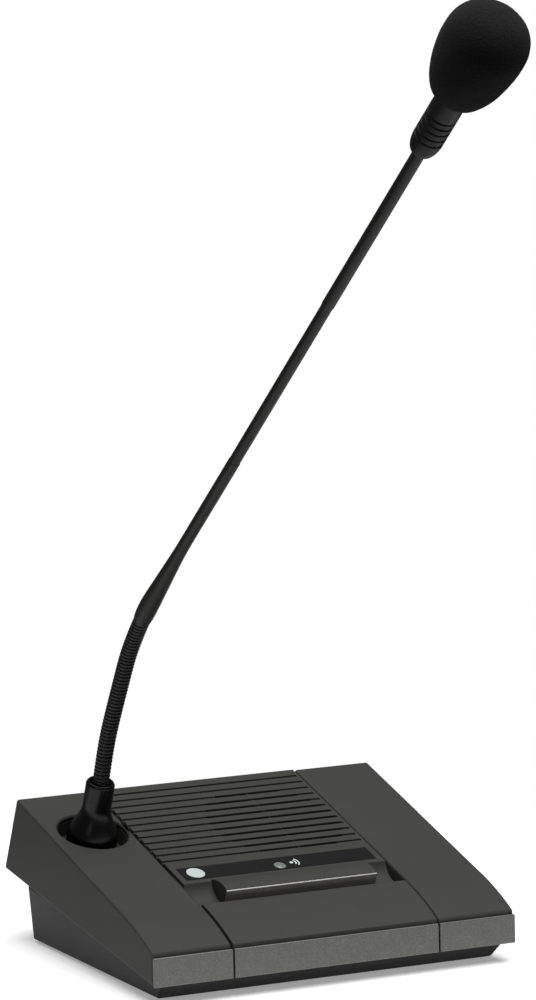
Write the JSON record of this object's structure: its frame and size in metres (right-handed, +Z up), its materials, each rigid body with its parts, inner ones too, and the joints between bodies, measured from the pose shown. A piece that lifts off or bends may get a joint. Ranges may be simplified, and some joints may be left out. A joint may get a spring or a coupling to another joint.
{
  "type": "gooseneck podium microphone",
  "caption": "Desk microphone station: sloped wedge base with grille, label strip, sprung talk bar and front scoop; slim forward-leaning gooseneck rod with a foam-covered head.",
  "frame": {"origin": "centre of the non-slip mat's bottom face, which rests on the table", "axes": "+X to the talker's right, +Y away from the talker towards the rear sockets, +Z up"},
  "size_m": [0.16, 0.3353, 0.3925],
  "materials": {
    "case_lower": "fine moulded texture",
    "mat_rubber": "matte ribbed rubber",
    "ballast_steel": "cut steel plate",
    "screw_steel": "zinc plated",
    "case_upper": "satin soft-touch paint on a fine moulded texture",
    "trim_metallic": "metallic paint with sparkle",
    "label_film": "smooth satin film",
    "badge_enamel": "pale glossy enamel",
    "lens_clear": "frosted light pipe",
    "led_body": "clear epoxy",
    "switch_black": "moulded",
    "plunger_pale": "moulded",
    "board_green": "solder mask",
    "gasket_foam": "closed-cell ring",
    "basket_steel": "pressed and blackened",
    "cone_paper": "doped paper",
    "magnet_ferrite": "ferrite ring with plated back",
    "component_black": "moulded packages",
    "socket_black": "moulded",
    "contact_gold": "gold flash",
    "cup_black": "moulded",
    "plug_black": "moulded",
    "collar_black": "semi-gloss",
    "flex_black": "semi-gloss coating on a steel gooseneck",
    "sleeve_black": "satin shrink sleeve",
    "rod_black": "satin lacquer on a steel tube",
    "lead_red": "flexible sheath",
    "boot_black": "satin",
    "barrel_black": "satin",
    "capsule_metal": "turned can",
    "ring_rubber": "soft mounting ring",
    "grille_black": "satin",
    "foam_black": "open-cell foam, fine pores"
  },
  "bodies": {
    "base": {"bottom_case": "case_lower", "non_slip_mat": "mat_rubber", "ballast_plate": "ballast_steel", "ballast_screws": "screw_steel", "case_screws": "screw_steel", "left_cheek": "case_upper", "centre_panel": "case_upper", "right_cheek": "case_upper", "left_front_trim": "trim_metallic", "centre_front_trim": "trim_metallic", "right_front_trim": "trim_metallic", "label_window": "label_film", "badge_disc": "badge_enamel", "status_lens": "lens_clear", "led_emitter": "led_body", "talk_bar_pins": "screw_steel", "talk_switches": "switch_black", "button_board": "board_green", "button_board_screws": "screw_steel", "speaker_gasket": "gasket_foam", "speaker_basket": "basket_steel", "speaker_cone": "cone_paper", "speaker_magnet": "magnet_ferrite", "speaker_screws": "screw_steel", "main_board": "board_green", "main_board_screws": "screw_steel", "board_components": "component_black", "bus_sockets": "socket_black", "bus_contacts": "contact_gold", "well_cup": "cup_black", "mic_socket": "plug_black", "mic_plug": "plug_black", "plug_pins": "contact_gold", "flex_base": "flex_black"},
    "talk_bar": {"talk_bar": "case_upper", "talk_bar_trim": "trim_metallic"},
    "switch_plungers": {"switch_plungers": "plunger_pale"},
    "lock_collar": {"lock_collar": "collar_black"},
    "flex_link_1": {"flex_link_1": "flex_black"},
    "flex_link_2": {"flex_link_2": "flex_black"},
    "flex_link_3": {"flex_link_3": "flex_black"},
    "flex_link_4": {"flex_link_4": "flex_black"},
    "flex_link_5": {"flex_link_5": "flex_black"},
    "flex_link_6": {"flex_link_6": "flex_black"},
    "flex_link_7": {"flex_link_7": "flex_black"},
    "flex_link_8": {"flex_link_8": "flex_black"},
    "flex_link_9": {"flex_link_9": "flex_black"},
    "flex_link_10": {"flex_link_10": "flex_black"},
    "flex_link_11": {"flex_link_11": "flex_black"},
    "flex_link_12": {"flex_link_12": "flex_black"},
    "boom": {"transition_sleeve": "sleeve_black", "rod_tube": "rod_black", "upper_sleeve": "sleeve_black", "signal_lead": "lead_red", "head_boot": "boot_black", "head_barrel": "barrel_black", "capsule": "capsule_metal", "capsule_ring": "ring_rubber", "capsule_grille": "grille_black"},
    "windshield": {"windshield": "foam_black"}
  },
  "joints": [
    {"name": "talk_bar_press", "type": "hinge", "parent": "base", "child": "talk_bar", "pos_m": [0.0012, -0.01376, 0.03055], "axis": [1, 0, 0], "range_deg": [0, 5], "stiffness_Nm_per_rad": 0.25, "springref_deg": -6.88},
    {"name": "switch_plunger_travel", "type": "slide", "parent": "base", "child": "switch_plungers", "axis": [0, 0.2857, -0.9583], "range_m": [0, 0.001]},
    {"name": "lock_collar_spin", "type": "hinge", "parent": "base", "child": "lock_collar", "pos_m": [-0.0612, 0.02659, 0.04884], "axis": [0, -0.2857, 0.9583], "range_deg": [0, 90]},
    {"name": "flex_pitch_1", "type": "hinge", "parent": "base", "child": "flex_link_1", "pos_m": [-0.0612, 0.02014, 0.0705], "axis": [1, 0, 0], "range_deg": [-8, 8]},
    {"name": "flex_side_1", "type": "hinge", "parent": "flex_link_1", "child": "flex_link_2", "pos_m": [-0.0612, 0.01835, 0.07657], "axis": [0, 0.9571, 0.2896], "range_deg": [-8, 8]},
    {"name": "flex_pitch_2", "type": "hinge", "parent": "flex_link_2", "child": "flex_link_3", "pos_m": [-0.0612, 0.01647, 0.08262], "axis": [1, 0, 0], "range_deg": [-8, 8]},
    {"name": "flex_side_2", "type": "hinge", "parent": "flex_link_3", "child": "flex_link_4", "pos_m": [-0.0612, 0.0145, 0.08863], "axis": [0, 0.9479, 0.3185], "range_deg": [-8, 8]},
    {"name": "flex_pitch_3", "type": "hinge", "parent": "flex_link_4", "child": "flex_link_5", "pos_m": [-0.0612, 0.01244, 0.09462], "axis": [1, 0, 0], "range_deg": [-8, 8]},
    {"name": "flex_side_3", "type": "hinge", "parent": "flex_link_5", "child": "flex_link_6", "pos_m": [-0.0612, 0.01027, 0.10056], "axis": [0, 0.9356, 0.3531], "range_deg": [-8, 8]},
    {"name": "flex_pitch_4", "type": "hinge", "parent": "flex_link_6", "child": "flex_link_7", "pos_m": [-0.0612, 0.00797, 0.10646], "axis": [1, 0, 0], "range_deg": [-8, 8]},
    {"name": "flex_side_4", "type": "hinge", "parent": "flex_link_7", "child": "flex_link_8", "pos_m": [-0.0612, 0.00552, 0.1123], "axis": [0, 0.9154, 0.4026], "range_deg": [-8, 8]},
    {"name": "flex_pitch_5", "type": "hinge", "parent": "flex_link_8", "child": "flex_link_9", "pos_m": [-0.0612, 0.00287, 0.11805], "axis": [1, 0, 0], "range_deg": [-8, 8]},
    {"name": "flex_side_5", "type": "hinge", "parent": "flex_link_9", "child": "flex_link_10", "pos_m": [-0.0612, -0.00001, 0.12368], "axis": [0, 0.8775, 0.4796], "range_deg": [-8, 8]},
    {"name": "flex_pitch_6", "type": "hinge", "parent": "flex_link_10", "child": "flex_link_11", "pos_m": [-0.0612, -0.0032, 0.12915], "axis": [1, 0, 0], "range_deg": [-8, 8]},
    {"name": "flex_side_6", "type": "hinge", "parent": "flex_link_11", "child": "flex_link_12", "pos_m": [-0.0612, -0.00675, 0.13439], "axis": [0, 0.8028, 0.5963], "range_deg": [-8, 8]},
    {"name": "flex_pitch_7", "type": "hinge", "parent": "flex_link_12", "child": "boom", "pos_m": [-0.0612, -0.01074, 0.13931], "axis": [1, 0, 0], "range_deg": [-8, 8]},
    {"name": "windshield_pull", "type": "slide", "parent": "boom", "child": "windshield", "axis": [0, -0.7145, 0.6997], "range_m": [0, 0.045]}
  ],
  "couplings": [
    {"joint": "switch_plunger_travel", "follows": "talk_bar_press", "m_per_rad": 0.0112},
    {"joint": "flex_pitch_2", "follows": "flex_pitch_1", "ratio": 1},
    {"joint": "flex_side_2", "follows": "flex_side_1", "ratio": 1},
    {"joint": "flex_pitch_3", "follows": "flex_pitch_1", "ratio": 1},
    {"joint": "flex_side_3", "follows": "flex_side_1", "ratio": 1},
    {"joint": "flex_pitch_4", "follows": "flex_pitch_1", "ratio": 1},
    {"joint": "flex_side_4", "follows": "flex_side_1", "ratio": 1},
    {"joint": "flex_pitch_5", "follows": "flex_pitch_1", "ratio": 1},
    {"joint": "flex_side_5", "follows": "flex_side_1", "ratio": 1},
    {"joint": "flex_pitch_6", "follows": "flex_pitch_1", "ratio": 1},
    {"joint": "flex_side_6", "follows": "flex_side_1", "ratio": 1},
    {"joint": "flex_pitch_7", "follows": "flex_pitch_1", "ratio": 1}
  ]
}
